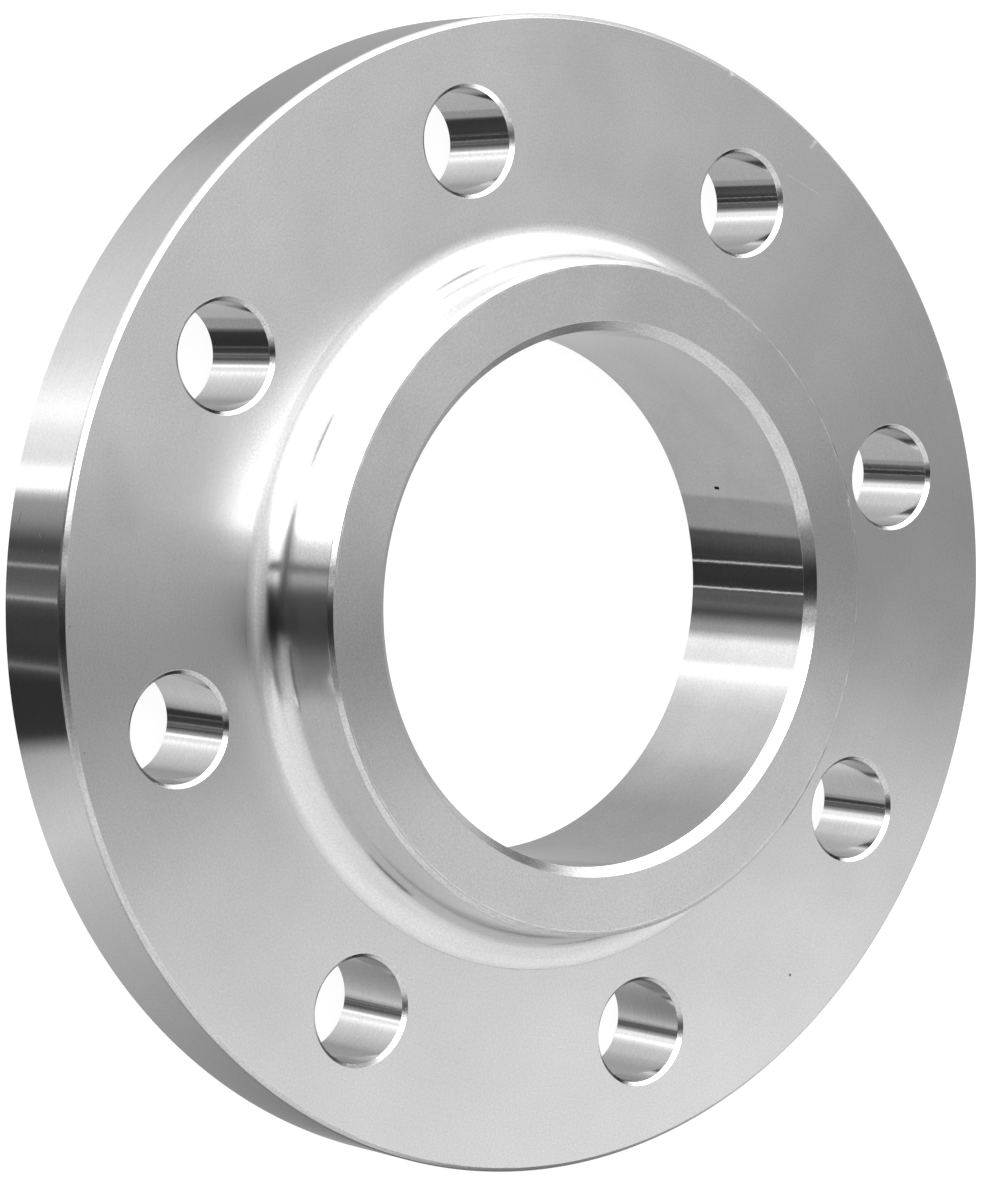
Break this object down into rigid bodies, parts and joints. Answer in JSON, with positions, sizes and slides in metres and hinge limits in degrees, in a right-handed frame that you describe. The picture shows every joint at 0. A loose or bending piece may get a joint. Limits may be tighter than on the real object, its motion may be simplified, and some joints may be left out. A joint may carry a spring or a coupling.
{
  "type": "slip on flange",
  "caption": "Round steel pipe flange with a short tapered hub on one side, a plain bore for a slipped-in pipe, a ring of bolt holes and a raised sealing face.",
  "frame": {"origin": "centre of the raised sealing face, on the bore's axis", "axes": "+Z along the bore from the sealing face to the hub end; +X and +Y each point midway between neighbouring bolt holes"},
  "size_m": [0.2, 0.2, 0.034],
  "materials": {
    "stainless_steel": "fine turned stainless steel, bright"
  },
  "bodies": {
    "root": {"slip_on_flange": "stainless_steel"}
  },
  "joints": []
}
